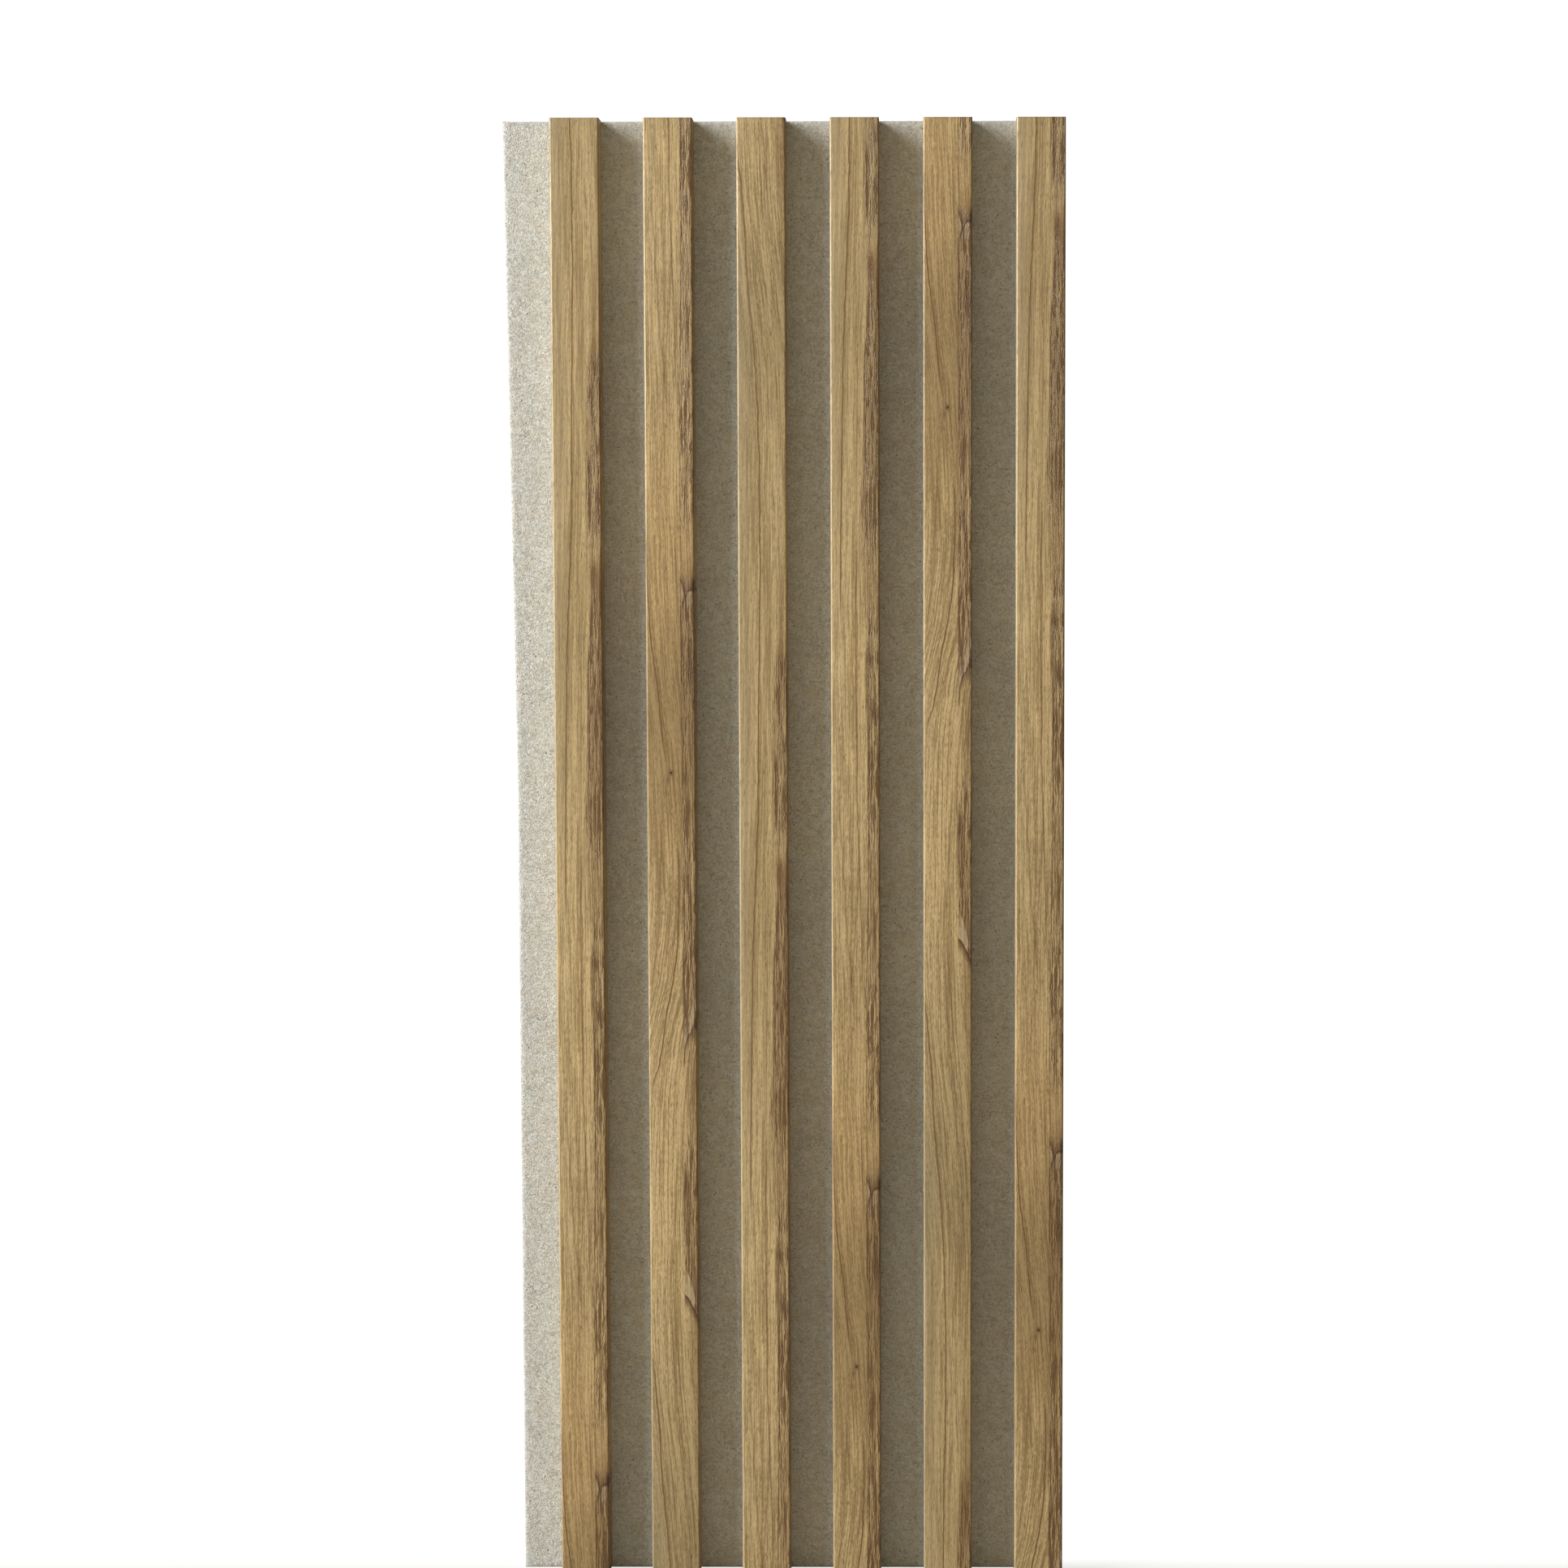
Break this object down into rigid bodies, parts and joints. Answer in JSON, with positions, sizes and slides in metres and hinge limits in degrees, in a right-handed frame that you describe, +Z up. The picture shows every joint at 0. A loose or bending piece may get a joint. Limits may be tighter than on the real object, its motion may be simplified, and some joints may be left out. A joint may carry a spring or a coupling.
{
  "type": "acoustic slat wall panel",
  "caption": "Upright acoustic wall panel: rounded wood-decor slats in parallel on a pale felt sheet, with a felt flap along the left side.",
  "frame": {"origin": "on the back face of the felt, half way up the slats and midway between the outer sides of the first and the last slat", "axes": "+Z up along the slats, +X to the right as seen by someone facing the slats, +Y out of the back of the felt into the wall, so that the slats face -Y"},
  "size_m": [0.3035, 0.0256, 0.797],
  "materials": {
    "felt": "matte",
    "fibreboard": "matte",
    "wood_decor_foil": "satin",
    "staple_wire": "satin"
  },
  "bodies": {
    "root": {"felt_backing": "felt", "slat_1_core": "fibreboard", "slat_1_foil": "wood_decor_foil", "slat_1_staples": "staple_wire", "slat_2_core": "fibreboard", "slat_2_foil": "wood_decor_foil", "slat_2_staples": "staple_wire", "slat_3_core": "fibreboard", "slat_3_foil": "wood_decor_foil", "slat_3_staples": "staple_wire", "slat_4_core": "fibreboard", "slat_4_foil": "wood_decor_foil", "slat_4_staples": "staple_wire", "slat_5_core": "fibreboard", "slat_5_foil": "wood_decor_foil", "slat_5_staples": "staple_wire", "slat_6_core": "fibreboard", "slat_6_foil": "wood_decor_foil", "slat_6_staples": "staple_wire"}
  },
  "joints": []
}
